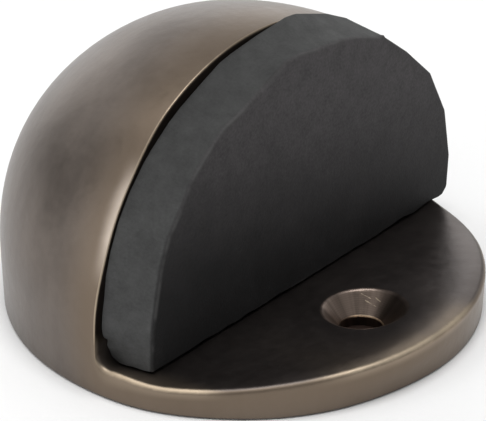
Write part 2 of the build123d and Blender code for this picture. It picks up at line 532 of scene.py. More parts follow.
def stud_holes(shell, flat):
    """Bores through the wall for the studs: their rings on the flat face and on the inside."""
    outside, inside = [], []
    for side in ("left", "right"):
        axis = box_mm(f"buffer_stud_{side}")[2]
        rows = [
            circle_about(axis, r, y) for r, y in (
                (STUD_HOLE_RADIUS + SUPPORT, FLAT_FACE_Y), (STUD_HOLE_RADIUS, FLAT_FACE_Y),
                (STUD_HOLE_RADIUS, WALL_INSIDE_Y), (STUD_HOLE_RADIUS + SUPPORT, WALL_INSIDE_Y))
        ]
        numbers = [shell.ring(row, rim=FAR_ON_CUT) for row in rows]
        shell.strips(numbers)
        flat.update(zip(numbers[0], np.stack([rows[0][:, 0], CUT.s_of_height(rows[0][:, 2])], -1)))
        outside.append(numbers[0])
        inside.append(numbers[-1])
    return outside, inside


def hollow(shell, wall_holes):
    """The hollow behind the wall. Gives its closed loop on the floor."""
    count = 141
    turn = np.linspace(0, math.pi, count)
    far = INNER.reach(lambda r: np.stack([
        r * np.cos(turn), np.full(count, WALL_INSIDE_Y), r * np.sin(turn)], -1), count, 40)
    sharp = np.stack([far * np.cos(turn), np.full(count, WALL_INSIDE_Y), far * np.sin(turn)], -1)
    travel = unit(np.gradient(sharp, axis=0))
    travel[[0, -1]] = ((0, 0, 1), (0, 0, -1))
    back = unit(np.cross(travel, INNER.normal(sharp)))
    back *= np.sign(back[:, 1:2])
    inward = np.stack([-travel[:, 2], 0 * turn, travel[:, 0]], -1)
    start = sharp + HOLLOW_CORNER_RADIUS * inward
    end = INNER.onto(sharp + HOLLOW_CORNER_RADIUS * back)
    for row in (start, end):
        row[[0, -1], 2] = 0
    bearing = np.arctan2(end[:, 1], end[:, 0])
    bearing = np.linspace(bearing[0], math.pi - bearing[0], count)
    floor = INNER.toward(np.array([1, 0, -WAIST_HEIGHT / (FLOOR_RADIUS - WALL)]))[0]
    target = np.stack([np.cos(bearing) * floor, np.sin(bearing) * floor, 0 * bearing], -1)
    support = shell.ring(start + 0.25 * inward)
    rows = [start, *rounded(sharp, start, end, 6), end]
    for share in np.linspace(0, 1, HOLLOW_ROWS + 1)[1:]:
        row = INNER.toward(between(end - INNER.centre, target - INNER.centre, share))
        row[[0, -1]] = end[[0, -1]]
        rows.append(row)
    numbers = [support, *(shell.ring(row) for row in rows)]
    shell.strips(numbers, closed=False)
    shell.fill_level([support, *wall_holes], (0, 2))
    right = [ring[0] for ring in numbers[:-HOLLOW_ROWS]]
    left = [ring[-1] for ring in numbers[-HOLLOW_ROWS - 1::-1]]
    return right + numbers[-1][1:-1] + left


# Depths of the hand finish, in millimetres
CORNER_LIP = 0.6
FRONT_LIP = 0.3
SOFT_EDGE = 0.16
FLAT_SHOULDER = 0.42
TUCKED_FOOT = 0.3
# Where the outside isn't true: direction from the round's middle, reach in degrees, millimetres outwards
GROUND = [
    ((0.47, 0.05, 0.88), 25, -0.42),
    ((-0.40, 0.82, 0.40), 22, 0.12),
    ((-0.80, 0.56, -0.20), 22, -0.14),
    ((-0.94, -0.28, -0.22), 13, 0.28),
    ((0.64, -0.77, -0.20), 17, -0.30),
    ((0.20, -0.95, -0.22), 22, -0.12),
]


def hand_finish(points):
    """Small departures from the design where the casting was filed and ground: a lip on the plate beside
    the inner corner and at the front, a flatter left shoulder, a foot tucked in at the front, and a round
    that isn't quite true."""
    p = np.array(points)
    out = np.hypot(p[:, 0], p[:, 1])
    behind = ease(p[:, 1], FLAT_FACE_Y, FLAT_FACE_Y + 2.5)
    beside_corner = CORNER_LIP * ease(p[:, 1], -9.5, -3.0) ** 1.7 * ease(out, 19.6, 21.8) * (1 - behind)
    beside_corner *= ease(p[:, 2], 1.0, 2.2) * (1 - ease(p[:, 2], 2.5, 5.6))
    front_lip = FRONT_LIP * ease(-p[:, 1], 11, 20) * ease(out, 15.5, 20.0) * ease(p[:, 2], 1.0, 3.0)
    soft_edge = SOFT_EDGE * np.clip((out - 20.0) / 2.3, 0, 1) ** 2 * ease(-p[:, 1], 4, 12)
    p[:, 2] += beside_corner + front_lip - soft_edge * ease(p[:, 2], 1.0, 3.0)
    near_surface = ease(OUTER.outside(p), -2.5, -0.6)
    shoulder = ease(p[:, 2], 7, 14) * (1 - ease(p[:, 2], 19, 24)) * ease(-p[:, 0], 8, 16)
    amount = -FLAT_SHOULDER * shoulder * (1 - ease(p[:, 1], FLAT_FACE_Y, FLAT_FACE_Y + 9))
    way = unit(p - OUTER.centre)
    for direction, reach, outward in GROUND:
        angle = np.degrees(np.arccos(np.clip(way @ unit(np.array(direction)), -1, 1)))
        amount = amount + outward * np.exp(-((angle / reach) ** 2))
    at_foot = (1 - ease(p[:, 2], 0.3, 2.8)) * ease(-p[:, 1], 12, 19)
    amount = amount - TUCKED_FOOT * np.exp(-(((p[:, 0] + 5.5) / 6.5) ** 2)) * at_foot
    way[:, 1] *= np.clip((p[:, 1] - FLAT_FACE_Y) / 0.5, 0, 1) + (p[:, 1] < FLAT_FACE_Y - 0.01)
    way[:, 2] *= ease(p[:, 2], 0, 1.5)
    return p + way * (amount * near_surface)[:, None]


def make_casting():
    """The brass casting as one closed mesh."""
    shell = Shell(rim=FAR_OUTSIDE, sink=0.0)
    flat = {}
    inner_ring, floor_ring = casting_outside(shell, flat)
    rows = casting_corner_rows(shell, flat, inner_ring)
    sink_ring, hole_ring = fixing_hole_rings(shell, flat)
    outside, inside = stud_holes(shell, flat)
    shell.fill([inner_ring, sink_ring, *outside], flat, rows)
    floor_loop = hollow(shell, inside)
    shell.fill_level([floor_ring, hole_ring, floor_loop], (0, 1))
    shell.points = list(map(tuple, hand_finish(shell.points)))
    return shell.build("brass_casting", math.radians(35))


# -------- rubber buffer

# The buffer's two upright faces, over the top from left foot to right foot, as (x, z)
BACK_EDGE = [
    (-20.6, 3.6), (-21.4, 5.1), (-21.6, 6.4), (-21.45, 7.8), (-21.2, 9.1), (-20.9, 11.2), (-20.3, 13.2),
    (-19.2, 15.7), (-17.75, 17.9), (-16.0, 19.9), (-15.0, 20.8), (-12.7, 22.55), (-11.25, 23.4), (-8.7, 24.6),
    (-5.95, 25.8), (-4.4, 26.15), (-1.0, 26.65), (3.1, 27.05), (4.5, 26.9), (9.0, 25.4), (11.9, 24.0),
    (15.1, 21.7), (16.9, 20.2), (19.3, 17.4), (20.9, 14.4), (21.9, 11.0), (22.2, 7.6), (21.9, 4.4),
    (21.2, 3.6),
]
FRONT_EDGE = [
    (-19.9, 2.7), (-19.65, 6.7), (-19.1, 9.5), (-18.4, 12.6), (-17.5, 14.8), (-15.8, 17.0), (-14.4, 19.2),
    (-12.4, 20.85), (-10.3, 22.4), (-7.9, 23.1), (-5.3, 24.2), (-1.9, 25.7), (0.0, 25.7), (3.2, 25.2),
    (5.9, 25.0), (8.4, 24.4), (11.5, 23.3), (12.2, 23.2), (15.95, 20.35), (19.8, 16.85), (22.5, 12.0),
    (23.6, 6.8), (23.45, 3.4), (22.8, 2.8),
]
BUFFER_ROUNDING = 0.12
BUFFER_FOOT_GAP = 0.2
BACK_FOOT_CHAMFER = 1.15
BUFFER_MIDDLE = np.array([0.8, 8.0])     # as (x, z)
MIDDLE = np.insert(BUFFER_MIDDLE, 1, 0)  # as (x, 0, z)
BACK_Y, FRONT_Y = BUFFER_HIGH[1], BUFFER_LOW[1]


def even_loop(corners, count):
    """Points at equal steps along a closed outline."""
    corners = np.vstack([corners, corners[:1]])
    walked = np.concatenate([[0], np.cumsum(np.linalg.norm(np.diff(corners, axis=0), axis=1))])
    even = np.linspace(0, walked[-1], count, endpoint=False)
    return np.stack([np.interp(even, walked, corners[:, k]) for k in (0, 1)], -1)


def at_same_angles(corners, points):
    """Points of a closed outline at the same angles about the buffer's middle as the points given."""
    a = np.array(corners) - BUFFER_MIDDLE
    b = np.roll(a, -1, axis=0)
    result = []
    for way in unit(points - BUFFER_MIDDLE):
        side = b - a
        cross = way[0] * side[:, 1] - way[1] * side[:, 0]
        far = (a[:, 0] * side[:, 1] - a[:, 1] * side[:, 0]) / cross
        share = (a[:, 0] * way[1] - a[:, 1] * way[0]) / cross
        hit = (far > 0) & (share >= 0) & (share <= 1)
        result.append(BUFFER_MIDDLE + way * far[hit].max())
    return np.array(result)


def pare(points, on, normal):
    """Cuts along a plane: points beyond it are moved back onto it."""
    normal = unit(np.array(normal, float))
    beyond = np.maximum((points - np.array(on)) @ normal, 0)
    return points - beyond[:, None] * normal


def foot_height(y):
    return plate_top(y) + BUFFER_FOOT_GAP


def make_buffer():
    """The rubber block: cut band, front face, underside and back, with the stud heads' pockets."""
    front_feet = [(FRONT_EDGE[-1][0] - 1.0, foot_height(FRONT_Y)), (FRONT_EDGE[0][0], foot_height(FRONT_Y))]
    back_feet = [(BACK_EDGE[-1][0] - 0.3, foot_height(BACK_Y)), (BACK_EDGE[0][0] + 0.2, foot_height(BACK_Y))]
    front = even_loop(np.array(FRONT_EDGE + front_feet), 460)
    back = at_same_angles(BACK_EDGE + back_feet, front)
    front3 = np.insert(front, 1, FRONT_Y, axis=1)
    back3 = np.insert(back, 1, BACK_Y, axis=1)
    shell = Shell(edge=3.0)

    def toward_middle(row, distance):
        inward = (MIDDLE - row) * (1, 0, 1)
        return row + unit(inward) * distance

    soft = 0.13 + 0.35 * np.exp(-(((front[:, 0] + 3.5) / 2.4) ** 2)) * (front[:, 1] > 15)
    soft = soft[:, None]
    across = front3 - back3
    step = unit(across)
    start = toward_middle(back3, BUFFER_ROUNDING)
    rows = [(toward_middle(back3, 0.4), 0.4), (start, BUFFER_ROUNDING)]
    rows += [(row, 0) for row in rounded(back3, start, back3 + step * BUFFER_ROUNDING, 3)]
    for share in np.linspace(0.03, 1, 18):
        row = back3 + across * share - step * soft * (share == 1)
        rows.append((row, np.linalg.norm(row - front3, axis=1)))
    near = front3 - step * soft
    face = toward_middle(front3, soft)
    rows += [(row, 0) for row in rounded(front3, near, face, 5)]
    rows.append((face, soft[:, 0]))
    for share in np.linspace(0.985, 0.04, 40):
        row = MIDDLE * (1, 0, 1) + (face - MIDDLE) * (share, 0, share)
        row[:, 1] = FRONT_Y
        rows.append((row, np.linalg.norm(row - front3, axis=1)))
    numbers = []
    for row, distance in rows:
        numbers.append(shell.ring(shape_rubber(row), edge=distance))
    centre = shape_rubber(np.array([[MIDDLE[0], FRONT_Y, MIDDLE[2]]]))
    shell.strips(numbers)
    shell.fan(numbers[-1], shell.ring(centre)[0])
    pockets = [stud_pocket(shell, side) for side in ("left", "right")]
    shell.fill_level([numbers[0], *pockets], (0, 2))
    return shell.build("rubber_block", math.radians(40))


def shape_rubber(points):
    """Knife marks, unevenness and the cuts at the foot."""
    on_band = ease(points[:, 1], FRONT_Y, FRONT_Y + 0.6) * ease(-points[:, 1], -BACK_Y, -BACK_Y + 0.5)
    away = unit((points - MIDDLE) * (1, 0, 1))
    wobble = 0.05 * rough(points * (1, 0.6, 1), 2.2, 1) + 0.02 * rough(points, 0.8, 2)
    points = points + away * (wobble * on_band)[:, None]
    on_face = 1 - ease(points[:, 1], FRONT_Y, FRONT_Y + 0.3)
    dents = 0.035 * rough(points, 4.5, 3) + 0.012 * rough(points, 1.3, 4)
    points[:, 1] += on_face * np.clip(dents, 0, 1)
    tag = np.exp(-(((points[:, 0] - 12.05) / 0.2) ** 2)) * ease(points[:, 2], 22.0, 23.0)
    points[:, 2] += 0.2 * tag * (1 - ease(points[:, 1], FRONT_Y + 0.1, FRONT_Y + 0.5))
    at_back_corner = ease(points[:, 1], BACK_Y - 1.6, BACK_Y) * ease(-points[:, 0], 19.5, 20.5)
    points[:, 0] += 0.4 * at_back_corner * np.exp(-(((points[:, 2] - 4.9) / 0.35) ** 2))
    foot = foot_height(points[:, 1]) + 0.12 + 0.16 * rough(points * (1, 1, 0), 1.9, 5)
    points[:, 2] = np.maximum(points[:, 2], foot)
    chamfer = foot_height(BACK_Y) + BACK_FOOT_CHAMFER + (points[:, 1] - BACK_Y)
    chamfer -= 0.35 * ease(-points[:, 0], 19.8, 20.8)
    points[:, 2] = np.maximum(points[:, 2], chamfer)
    return pare(points, (-21.3, -2.4, 3.4), (-0.75, 0.12, -0.65))


def stud_pocket(shell, side):
    """The room that a stud's head and neck take up inside the rubber. Gives its ring on the back face."""
    low, high, axis = box_mm(f"buffer_stud_{side}")
    head = (high[0] - low[0]) / 2
    head_back = low[1] + HEAD_THICKNESS
    numbers = [
        shell.ring(circle_about(axis, r, y)) for r, y in (
            (M4_RADIUS + SUPPORT, BACK_Y), (M4_RADIUS, BACK_Y), (M4_RADIUS, head_back),
            (head, head_back), (head, low[1]), (head - SUPPORT, low[1]))
    ]
    shell.strips(numbers)
    shell.fan(numbers[-1], shell.ring([(axis[0], low[1], axis[2])])[0])
    return numbers[0]


# -------- studs, washers and nuts

TURN_POINTS = 72
STEEL_ROUNDING = 0.1
THREAD_PITCH = 0.7
THREAD_DEPTH = 0.4
NECK_LENGTH = 2.4


def turned_ring(shell, axis, radius, y, edge=1.0):
    """A ring of a piece turned about an axis parallel to Y."""
    return shell.ring(circle_about(axis, radius, y, TURN_POINTS), edge=edge)


def round_corner(shell, axis, corner, start, end):
    """Rings of a small rounding at a corner (radius, y), whose start and end are steps away from it."""
    corner = np.array(corner)
    start, end = corner + start, corner + end
    rows = [start, *rounded(corner, start, end, 3), end]
    return [turned_ring(shell, axis, r, y, 0.0) for r, y in rows]


def steel_piece(shell, name, node):
    """Builds the mesh, and puts it in the place of its CAD node."""
    piece = shell.build(name, math.radians(40))
    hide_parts(node)
    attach(piece, "root")
    piece.data.materials.append(steel)


def make_stud(side):
    """A flat-headed stud with a rolled thread as far as its chamfered tip."""
    low, high, axis = box_mm(f"buffer_stud_{side}")
    head, shank = (high[0] - low[0]) / 2, M4_RADIUS
    back, e = low[1] + HEAD_THICKNESS, STEEL_ROUNDING
    shell = Shell(edge=1.0)
    rings = [turned_ring(shell, axis, head * 0.5, low[1])]
    rings += round_corner(shell, axis, (head, low[1]), (-e, 0), (0, e))
    rings += round_corner(shell, axis, (head, back), (0, -e), (-e, 0))
    rings += round_corner(shell, axis, (shank, back), (e, 0), (0, e))
    turn = np.arange(TURN_POINTS) / TURN_POINTS
    thread_start = back + NECK_LENGTH
    for y in np.arange(thread_start, high[1] - 0.02, THREAD_PITCH / 10):
        phase = np.abs((y / THREAD_PITCH - turn) % 1 - 0.5) * 2
        groove = np.clip((phase - 0.15) / 0.6, 0, 1)
        depth = THREAD_DEPTH * groove * ease(y, thread_start, thread_start + 0.7)
        radius = np.minimum(shank - depth, shank + high[1] - y - THREAD_DEPTH)
        rings.append(turned_ring(shell, axis, radius, y, (shank - radius) * 0.8))
    rings.append(turned_ring(shell, axis, shank - THREAD_DEPTH - 0.05, high[1]))
    shell.strips(rings)
    for ring, y in ((rings[0], low[1]), (rings[-1], high[1])):
        shell.fan(ring, shell.ring([(axis[0], y, axis[2])])[0])
    steel_piece(shell, f"steel_stud_{side}", f"buffer_stud_{side}")


def make_washer(side):
    """A punched washer: rounded on the side away from the nut."""
    low, high, axis = box_mm(f"stud_washer_{side}")
    outer, bore, e = (high[0] - low[0]) / 2, WASHER_BORE_RADIUS, STEEL_ROUNDING
    shell = Shell(edge=1.0)
    rings = round_corner(shell, axis, (outer, low[1]), (-2 * e, 0), (0, 2 * e))
    rings += round_corner(shell, axis, (outer, high[1]), (0, -e), (-e, 0))
    rings.append(turned_ring(shell, axis, (outer + bore) / 2, high[1]))
    rings += round_corner(shell, axis, (bore, high[1]), (e, 0), (0, -e))
    rings += round_corner(shell, axis, (bore, low[1]), (0, e), (e, 0))
    rings.append(turned_ring(shell, axis, (outer + bore) / 2, low[1]))
    shell.strips(rings + rings[:1])
    steel_piece(shell, f"steel_washer_{side}", f"stud_washer_{side}")


def make_nut(side):
    """A hexagon nut with turned chamfers on both faces and a chamfered bore."""
    low, high, axis = box_mm(f"stud_nut_{side}")
    flats = (high[2] - low[2]) / 2
    turn = np.arange(TURN_POINTS) * 2 * math.pi / TURN_POINTS
    hexagon = flats / np.cos(turn % (math.pi / 3) - math.pi / 6)
    chamfer = (hexagon - flats) * math.tan(NUT_CHAMFER_ANGLE)
    corner = 1 - ease(hexagon / flats, 1.04, 1.14)
    bore, e = NUT_BORE_RADIUS, 3 * STEEL_ROUNDING
    shell = Shell(edge=1.0)
    rings = []
    for y, out in ((low[1], 1), (high[1], -1)):
        half = [
            turned_ring(shell, axis, radius, y + out * inside, edge) for radius, inside, edge in (
                (bore, e, 0.0), (bore + e, 0, 0.0), ((bore + flats) / 2, 0, 1.0), (flats * 0.985, 0, 0.05),
                (hexagon * 0.995, chamfer + 0.01, corner), (hexagon, chamfer + 0.08, corner))
        ]
        rings += half[::out]
    shell.strips(rings + rings[:1])
    steel_piece(shell, f"steel_nut_{side}", f"stud_nut_{side}")


# -------- materials

ARCH_WEAR = 0.6
SCRATCH_WIDTH = 0.015
SCRATCH_FADE = 0.07
# Slip marks of a screwdriver in the countersink's wall, each (bearing in degrees, radius) at both its ends
SCRATCHES = [
    ((38, 3.35), (22, 3.1)),
    ((31, 2.95), (9, 2.7)),
    ((14, 3.2), (4, 3.05)),
]


def on_sink(bearing, radius):
    """A place on the countersink's wall."""
    turn = math.radians(bearing)
    height = plate_top(HOLE_Y) - (SINK_RADIUS - radius) / math.tan(SINK_HALF_ANGLE)
    return radius * math.cos(turn), HOLE_Y + radius * math.sin(turn), height


class Recipe:
    """A node material, put together in steps. Its patterns are sized in millimetres of the piece itself."""

    def __init__(self, name, **fixed):
        self.material = bpy.data.materials.new(name)
        self.material.use_nodes = True
        self.tree = self.material.node_tree
        self.shader = self.tree.nodes["Principled BSDF"]
        for socket, value in fixed.items():
            self.shader.inputs[socket.replace("_", " ")].default_value = value
        place = self.add("TexCoord", {}).outputs["Object"]
        self.place = self.vector("SCALE", {0: place, "Scale": 1 / MM})
        apart = self.add("SeparateXYZ", {0: self.place})
        self.x, self.y, self.z = apart.outputs

    def add(self, kind, inputs, **settings):
        node = self.tree.nodes.new("ShaderNode" + kind)
        for key, value in settings.items():
            setattr(node, key, value)
        for key, value in inputs.items():
            self.put(node.inputs[key], value)
        return node

    def put(self, socket, value):
        """Links a socket, or sets it: a colour is given as three numbers."""
        if isinstance(value, bpy.types.NodeSocket):
            self.tree.links.new(value, socket)
        elif socket.type == "RGBA":
            socket.default_value = (*value, 1)
        else:
            socket.default_value = value

    def vector(self, operation, inputs, output=0):
        return self.add("VectorMath", inputs, operation=operation).outputs[output]

    def math(self, operation, a, b=0.0):
        return self.add("Math", {0: a, 1: b}, operation=operation).outputs[0]

    def times(self, a, b):
        return self.math("MULTIPLY", a, b)

    def plus(self, a, b):
        return self.math("ADD", a, b)

    def span(self, value, low, high, to_low=0.0, to_high=1.0):
        """Eases from to_low, where the value is low or under, to to_high."""
        return self.add(
            "MapRange", {0: value, 1: low, 2: high, 3: to_low, 4: to_high},
            interpolation_type="SMOOTHSTEP",
        ).outputs[0]

    def noise(self, size, stretch=(1, 1, 1), detail=3.0):
        """Cloudy values from 0 to 1, about 0.5, with features of the size given."""
        spot = self.vector("MULTIPLY", {0: self.place, 1: [1 / size / k for k in stretch]})
        return self.add("TexNoise", {"Vector": spot, "Scale": 1.0, "Detail": detail}).outputs[0]

    def lines(self, size, width):
        """1 along thin wandering lines and 0 elsewhere."""
        value = self.noise(size, detail=1.0)
        return self.span(self.math("ABSOLUTE", self.plus(value, -0.5)), 0.0, width, 1.0, 0.0)

    def blend(self, share, a, b, mode="MIX"):
        inputs = {0: share, 6: a, 7: b}
        return self.add("Mix", inputs, data_type="RGBA", blend_type=mode).outputs[2]

    def shade(self, color, amount):
        """The colour times an amount."""
        both = self.add("CombineColor", {0: amount, 1: amount, 2: amount}).outputs[0]
        return self.blend(1.0, color, both, "MULTIPLY")

    def flat_from_hole(self):
        """The way from the fixing hole's axis, with no height."""
        away = self.vector("ADD", {0: self.place, 1: (0, -HOLE_Y, 0)})
        return self.vector("MULTIPLY", {0: away, 1: (1, 1, 0)})

    def stroke(self, start, end):
        """Up to 0.75 along a thin, uneven scratch between two places, and 0 elsewhere."""
        along = Vector(end) - Vector(start)
        away = self.vector("SUBTRACT", {0: self.place, 1: start})
        share = self.vector("DOT_PRODUCT", {0: away, 1: along / along.length_squared}, "Value")
        share = self.add("Clamp", {0: share}).outputs[0]
        nearest = self.vector("SCALE", {0: along, "Scale": share})
        gap = self.vector("DISTANCE", {0: away, 1: nearest}, "Value")
        gap = self.plus(gap, self.times(self.plus(self.noise(0.35), -0.35), 0.16))
        return self.span(gap, SCRATCH_WIDTH + SCRATCH_FADE, SCRATCH_WIDTH, 0.0, 0.75)

    def mark(self, name):
        return self.add("Attribute", {}, attribute_name=name).outputs["Fac"]

    def bumps(self, *heights):
        """Bumps one on another, each (height from 0 to 1, its depth in millimetres)."""
        normal = None
        for height, depth in heights:
            inputs = {"Height": height, "Distance": depth * MM, "Strength": 1.0}
            if normal:
                inputs["Normal"] = normal
            normal = self.add("Bump", inputs).outputs[0]
        self.put(self.shader.inputs["Normal"], normal)

    def finish(self, color, roughness):
        self.put(self.shader.inputs["Base Color"], color)
        self.put(self.shader.inputs["Roughness"], roughness)
        return self.material


def brass_tone(r, rim, on_cut, clouds, mottle):
    """The metal before wear: warmer near the rims, with painted shade low on the dome, darker on the cut
    faces (a darker patina on the plate's top and painted shade on the flat face above it), and a painted
    highlight beside the arch's rim.
    """
    streaks = r.noise(1.6, (1, 1, 9))
    tone = r.plus(r.times(clouds, 0.45), r.plus(r.times(mottle, 0.25), r.times(streaks, 0.3)))
    color = r.blend(r.span(tone, 0.34, 0.66), BRASS_DARK, BRASS_LIGHT)
    # painted shade: the dome's colour darkens towards its foot
    color = r.shade(color, r.span(r.z, 4.0, 12.0, 0.87, 1.0))
    color = r.blend(r.times(r.span(rim, 8.0, 0.5), 0.7), color, BRASS_WARM)
    # the plate's top keeps a darker patina; the flat face above it is painted near-black as painted shade
    cut_color = r.blend(r.span(r.z, 4.2, 5.5), BRASS_PLATE, FLAT_FACE_PAINTED_SHADE)
    color = r.blend(on_cut, color, r.shade(cut_color, r.span(tone, 0.3, 0.7, 0.85, 1.15)))
    # painted highlight: a pale glow beside the arch's rim, between 10 and 21 mm up, brightest at the rim
    near_rim = r.span(r.plus(rim, r.times(r.noise(2.0), 0.5)), 2.8, 0.2)
    painted_highlight = r.times(r.span(r.z, 10.0, 15.0), r.span(r.z, 21.0, 17.5))
    painted_highlight = r.times(painted_highlight, r.math("POWER", near_rim, 2.0))
    return r.blend(r.times(painted_highlight, r.span(rim, -0.1, 0.1)), color, BRASS_PAINTED_HIGHLIGHT)


def rim_wear(r, color, rim, on_plate):
    """Bare metal along the rims, most at the plate's front and corner. Gives the colour and the wear."""
    front = r.times(r.span(r.x, -14.0, -8.0), r.span(r.x, 7.0, 2.5))
    corner = r.times(r.span(r.x, -18.0, -19.8), r.span(r.y, -2.0, -4.5, 0.3, 0.8))
    cloudy = r.span(r.noise(5.0, detail=2.0), 0.35, 0.6, 0.75, 1.0)
    rubbed = r.times(r.times(on_plate, r.plus(r.plus(corner, front), 0.05)), cloudy)
    arch = r.times(r.plus(1.0, r.times(on_plate, -1.0)), cloudy)
    arch = r.times(arch, r.span(r.z, 21.5, 23.5, ARCH_WEAR, ARCH_WEAR / 2))
    edge_noise = r.times(r.plus(r.noise(0.6), -0.5), 0.3)
    beside_rim = r.plus(r.math("ABSOLUTE", r.plus(rim, 0.15)), edge_noise)
    on_arch_rim = r.plus(r.math("ABSOLUTE", rim), r.times(edge_noise, 0.2))
    wear = r.times(r.span(beside_rim, 0.45, 0.08), rubbed)
    wear = r.plus(wear, r.times(r.span(on_arch_rim, 0.2, 0.06), arch))
    soft_wear = r.times(r.times(r.span(rim, -3.2, -0.2), r.span(rim, 1.1, 0.1)), rubbed)
    color = r.blend(r.times(soft_wear, 0.85), color, BRASS_WORN_SOFT)
    return r.blend(wear, color, BRASS_WORN), wear


def sink_wall(r, color, sink):
    """The countersink's turned wall and scratches, with painted light on the wall's left side and a painted
    highlight on the right of the bore's lip. Gives the colour, the tool marks, and the scratches with the
    lip's painted highlight.
    """
    flat = r.flat_from_hole()
    ripple = r.plus(r.vector("LENGTH", {0: flat}, "Value"), r.times(r.noise(1.2), 0.12))
    turning = r.span(r.math("SINE", r.times(ripple, 2 * math.pi / TOOL_MARK_STEP)), -1.0, 1.0)
    way = r.vector("NORMALIZE", {0: flat})
    chatter = r.add("TexNoise", {"Vector": way, "Scale": 3.5, "Detail": 2.0}).outputs[0]
    wall = r.shade(r.blend(turning, SINK_DARK, SINK_LIGHT), r.span(chatter, 0.35, 0.65, 0.75, 1.3))
    # painted light: the countersink's wall is made lighter towards its left side
    wall = r.shade(wall, r.span(r.x, 1.0, -1.5, 1.0, 1.5))
    color = r.blend(r.times(r.span(sink, 0.0, 1.0), 0.85), color, wall)
    # painted highlight: the right side of the bore's lip takes the pale metal colour; the scratches below are
    # real marks
    scratches_and_lip_highlight = r.times(r.span(sink, 1.2, 1.8), r.span(r.x, 0.5, 1.2, 0.1, 1.0))
    for start, end in SCRATCHES:
        scratches_and_lip_highlight = r.math("MAXIMUM", scratches_and_lip_highlight, r.times(sink, r.stroke(on_sink(*start), on_sink(*end))))
    return r.blend(scratches_and_lip_highlight, color, BRASS_WORN), r.times(turning, sink), scratches_and_lip_highlight


def cast_brass():
    """Antiqued satin brass: brown-grey, streaked and clouded, rubbed through to the metal along its rims,
    with painted shade and painted highlights in places.
    """
    r = Recipe("cast_brass", Metallic=1.0)
    rim, sink = r.mark("rim"), r.mark("sink")
    clouds, mottle = r.noise(6.0, detail=4.0), r.noise(0.9, detail=4.0)
    on_cut, on_plate = r.span(rim, 0.1, -0.35), r.span(r.z, 6.2, 4.8)
    color = brass_tone(r, rim, on_cut, clouds, mottle)
    color, wear = rim_wear(r, color, rim, on_plate)
    color, tool_marks, scratches_and_lip_highlight = sink_wall(r, color, sink)
    roughness = r.plus(r.times(r.plus(mottle, clouds), 0.1), BRASS_ROUGHNESS - 0.1)
    roughness = r.plus(roughness, r.plus(r.times(on_cut, -0.03), r.times(wear, 0.08)))
    dulled = r.times(r.span(r.math("ABSOLUTE", rim), 0.7, 0.15), r.span(r.x, -8.0, -13.0))
    roughness = r.plus(roughness, r.times(r.times(dulled, on_plate), 0.2))
    r.put(r.shader.inputs["Metallic"], r.span(on_cut, 0.0, 1.0, 1.0, 0.96))
    r.bumps(
        (r.noise(0.1, detail=2.0), 0.006), (r.noise(1.4, detail=2.0), 0.03),
        (r.noise(0.09, (1, 1, 30), 1.0), 0.004), (tool_marks, 0.0015), (scratches_and_lip_highlight, -0.004),
    )
    return r.finish(color, roughness)


def cut_rubber():
    """Black rubber: a moulded front darkened towards its foot as painted shade, and lighter knife-cut sides
    with painted light, lighter along the edges from wear and a painted highlight.
    """
    r = Recipe("cut_rubber", Metallic=0.0, Specular_IOR_Level=0.3)
    on_cut = r.span(r.y, FRONT_Y + 0.1, FRONT_Y + 0.4)
    # painted shade: the front face darkens towards its foot, with a little random tone on top
    painted_shade_by_height = r.span(r.plus(r.z, r.times(r.x, 0.2)), 4.0, 24.0)
    painted_shade_by_height = r.plus(painted_shade_by_height, r.times(r.plus(r.noise(5.0), -0.5), 0.35))
    color = r.blend(painted_shade_by_height, RUBBER_LOW, RUBBER_HIGH)
    # painted light and shade on the cut band: lighter low down and towards the right, darker near the top
    band_painted_light = r.times(r.span(r.z, 8.0, 22.0, 1.3, 0.9), r.span(r.x, -1.0, 6.0, 1.0, 1.5))
    color = r.blend(on_cut, color, r.shade(RUBBER_CUT, band_painted_light))
    mottle = r.noise(1.5, detail=5.0)
    speckle = r.noise(0.25, detail=2.0)
    grainy = r.times(r.plus(speckle, -0.5), r.span(on_cut, 0.0, 1.0, 0.9, 0.4))
    color = r.shade(color, r.plus(r.plus(mottle, 0.5), grainy))
    # lighter along the cut edges: partly wear, partly a painted highlight
    lighter_edges = r.times(r.span(r.mark("edge"), 0.35, 0.0), r.span(r.noise(1.8), 0.35, 0.6, 0.1, 0.6))
    color = r.blend(lighter_edges, color, RUBBER_WORN)
    dust = r.times(r.lines(0.6, 0.012), r.span(r.noise(3.0), 0.55, 0.65))
    color = r.blend(r.times(dust, 0.35), color, RUBBER_WORN)
    knife = r.times(r.noise(0.35, (1, 14, 1), 2.0), on_cut)
    roughness = r.plus(r.times(mottle, 0.2), r.plus(r.times(on_cut, 0.08), RUBBER_ROUGHNESS - 0.1))
    r.bumps((speckle, 0.02), (mottle, 0.05), (knife, 0.05), (r.noise(0.08, detail=1.0), 0.01))
    return r.finish(color, roughness)


def plated_steel():
    """Bright zinc plate: a fine spangle, greyer where dulled, brighter along edges and thread crests."""
    r = Recipe("plated_steel", Metallic=1.0)
    cells = r.add("TexVoronoi", {"Vector": r.place, "Scale": 2.2}).outputs["Distance"]
    dull = r.noise(1.3, detail=4.0)
    fine = r.noise(0.12, detail=2.0)
    tone = r.plus(r.times(dull, 0.7), r.plus(r.times(cells, 0.2), r.times(fine, 0.1)))
    color = r.blend(r.span(tone, 0.35, 0.62), STEEL_DULL, STEEL_BRIGHT)
    lighter_edges = r.times(r.span(r.mark("edge"), 0.3, 0.0), r.span(r.noise(0.8), 0.35, 0.6, 0.3, 1.0))
    color = r.blend(lighter_edges, color, STEEL_WORN)
    roughness = r.plus(r.times(dull, 0.2), r.plus(r.times(lighter_edges, -0.08), 0.2))
    r.bumps((fine, 0.006), (r.noise(0.06, (1, 12, 1), 1.0), 0.004))
    return r.finish(color, roughness)


